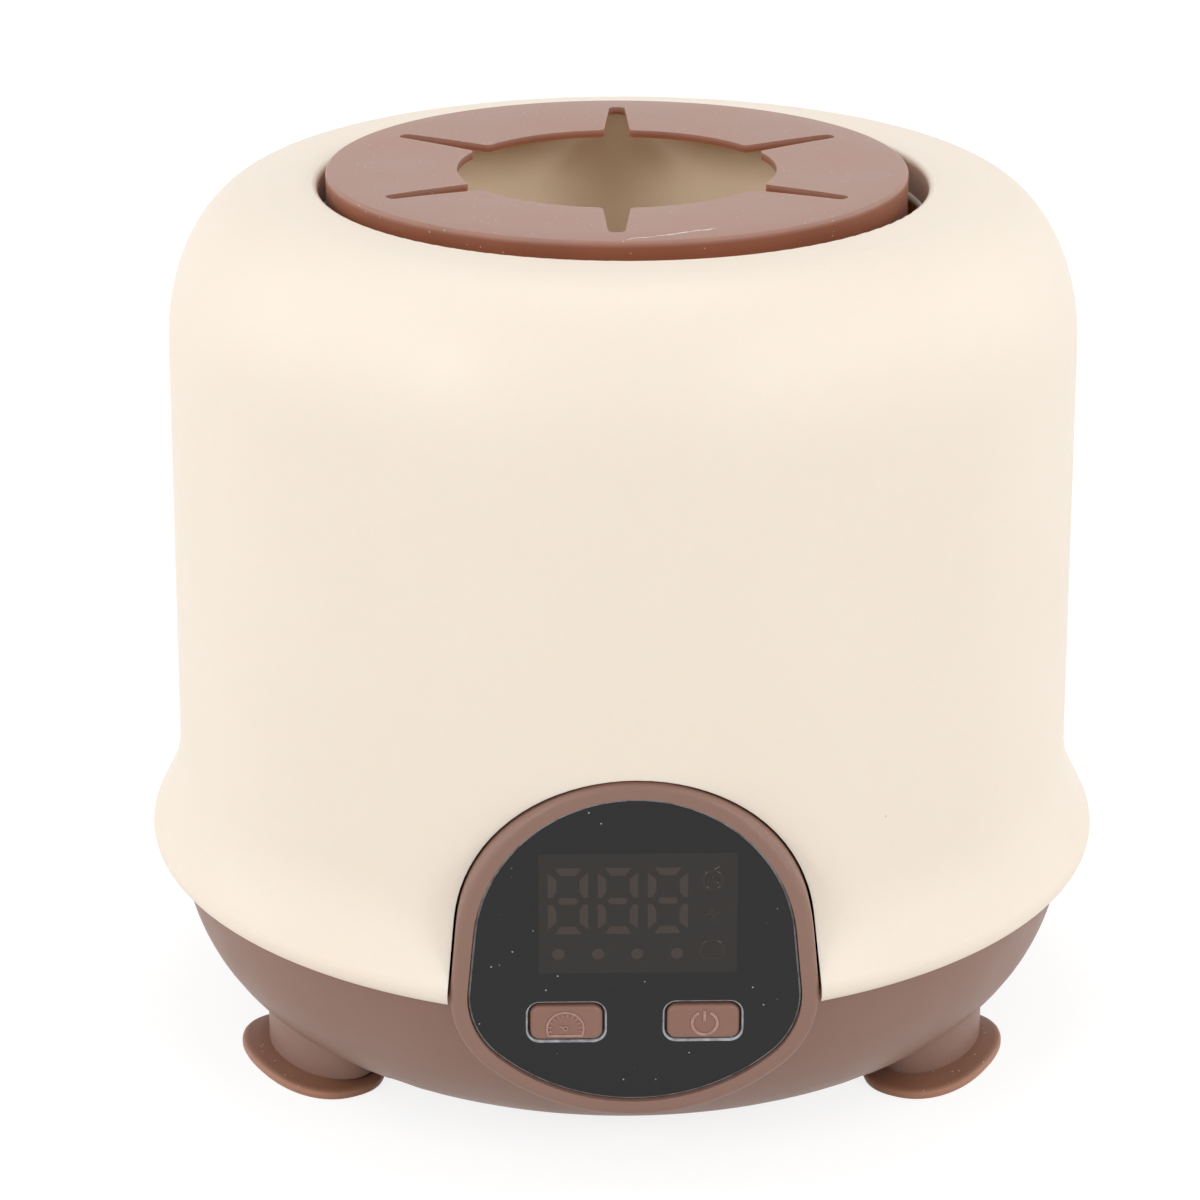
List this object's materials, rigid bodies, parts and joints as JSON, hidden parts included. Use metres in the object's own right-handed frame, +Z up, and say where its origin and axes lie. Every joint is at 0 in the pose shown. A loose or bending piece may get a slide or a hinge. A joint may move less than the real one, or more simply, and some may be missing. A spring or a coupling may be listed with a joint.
{
  "type": "electric baby formula mixer",
  "caption": "Countertop bottle shaker: domed body on suction feet with a front display and buttons, and a round cup under a slit grip ring that circles on a crank to swirl a feeding bottle.",
  "frame": {"origin": "on the table under the axis of the turned body, at the level of the feet's rims", "axes": "+Z up along the body's axis, -Y out of the display towards the user, +X to the user's right"},
  "size_m": [0.142, 0.1375, 0.1291],
  "materials": {
    "shell_plastic": "satin moulded ABS, cream",
    "bowl_plastic": "satin moulded ABS, brown",
    "cup_plastic": "satin moulded polypropylene, cream",
    "ring_silicone": "matt silicone, brown",
    "foot_silicone": "matt silicone, red-brown",
    "lens_plastic": "polished smoked acrylic",
    "button_plastic": "satin moulded ABS, brown",
    "display_plastic": "dark face of a segment display",
    "circuit_board": "glass-fibre board with green mask",
    "connector_plastic": "moulded nylon, natural",
    "switch_plastic": "moulded nylon, black",
    "chassis_plastic": "moulded glass-filled nylon, grey",
    "steel": "zinc-plated steel",
    "bronze": "sintered bronze",
    "cell_can": "metal can in a blue shrink sleeve",
    "lead_red": "soft vinyl insulation, red",
    "lead_black": "soft vinyl insulation, black"
  },
  "bodies": {
    "housing": {"outer_shell": "shell_plastic", "base_bowl": "bowl_plastic", "suction_foot_left": "foot_silicone", "suction_foot_right": "foot_silicone", "suction_foot_rear": "foot_silicone", "display_lens": "lens_plastic", "display_module": "display_plastic", "control_board": "circuit_board", "board_screws": "steel", "wire_header": "connector_plastic", "speed_switch": "switch_plastic", "power_switch": "switch_plastic", "case_screws": "steel", "chassis_plate": "chassis_plastic", "chassis_screws": "steel", "motor_can": "steel", "motor_end_cap": "switch_plastic", "motor_terminals": "connector_plastic", "motor_screws": "steel", "lower_bushes": "bronze", "battery_cell": "cell_can", "battery_cradle": "chassis_plastic", "charge_board": "circuit_board", "charge_socket": "steel", "motor_lead": "lead_red", "battery_lead": "lead_red", "charge_lead": "lead_black"},
    "crank": {"motor_shaft": "steel", "eccentric_hub": "steel", "counterweight": "steel"},
    "cup": {"crank_bearing": "steel", "cup_carrier": "chassis_plastic", "cup_screws": "steel", "upper_bushes": "bronze", "bottle_cup": "cup_plastic"},
    "ring": {"grip_ring": "ring_silicone"},
    "guide_left": {"guide_crank_left": "steel"},
    "guide_right": {"guide_crank_right": "steel"},
    "guide_rear": {"guide_crank_rear": "steel"},
    "speed_key": {"speed_button": "button_plastic", "speed_plunger": "connector_plastic"},
    "power_key": {"power_button": "button_plastic", "power_plunger": "connector_plastic"}
  },
  "joints": [
    {"name": "crank_spin", "type": "hinge", "parent": "housing", "child": "crank", "pos_m": [0, 0, 0.043], "axis": [0, 0, 1], "continuous": true},
    {"name": "cup_orbit", "type": "hinge", "parent": "crank", "child": "cup", "pos_m": [-0.00086, 0.0011, 0.0519], "axis": [0, 0, 1], "continuous": true},
    {"name": "ring_lift", "type": "slide", "parent": "cup", "child": "ring", "axis": [0, 0, 1], "range_m": [0, 0.03]},
    {"name": "guide_left_spin", "type": "hinge", "parent": "housing", "child": "guide_left", "pos_m": [-0.02858, -0.0165, 0.045], "axis": [0, 0, 1], "continuous": true},
    {"name": "guide_right_spin", "type": "hinge", "parent": "housing", "child": "guide_right", "pos_m": [0.02858, -0.0165, 0.045], "axis": [0, 0, 1], "continuous": true},
    {"name": "guide_rear_spin", "type": "hinge", "parent": "housing", "child": "guide_rear", "pos_m": [0, 0.033, 0.045], "axis": [0, 0, 1], "continuous": true},
    {"name": "speed_press", "type": "slide", "parent": "housing", "child": "speed_key", "axis": [0, 1, 0], "range_m": [0, 0.0005], "stiffness_N_per_m": 800},
    {"name": "power_press", "type": "slide", "parent": "housing", "child": "power_key", "axis": [0, 1, 0], "range_m": [0, 0.0005], "stiffness_N_per_m": 800}
  ],
  "couplings": [
    {"joint": "cup_orbit", "follows": "crank_spin", "ratio": -1},
    {"joint": "guide_left_spin", "follows": "crank_spin", "ratio": 1},
    {"joint": "guide_right_spin", "follows": "crank_spin", "ratio": 1},
    {"joint": "guide_rear_spin", "follows": "crank_spin", "ratio": 1}
  ]
}
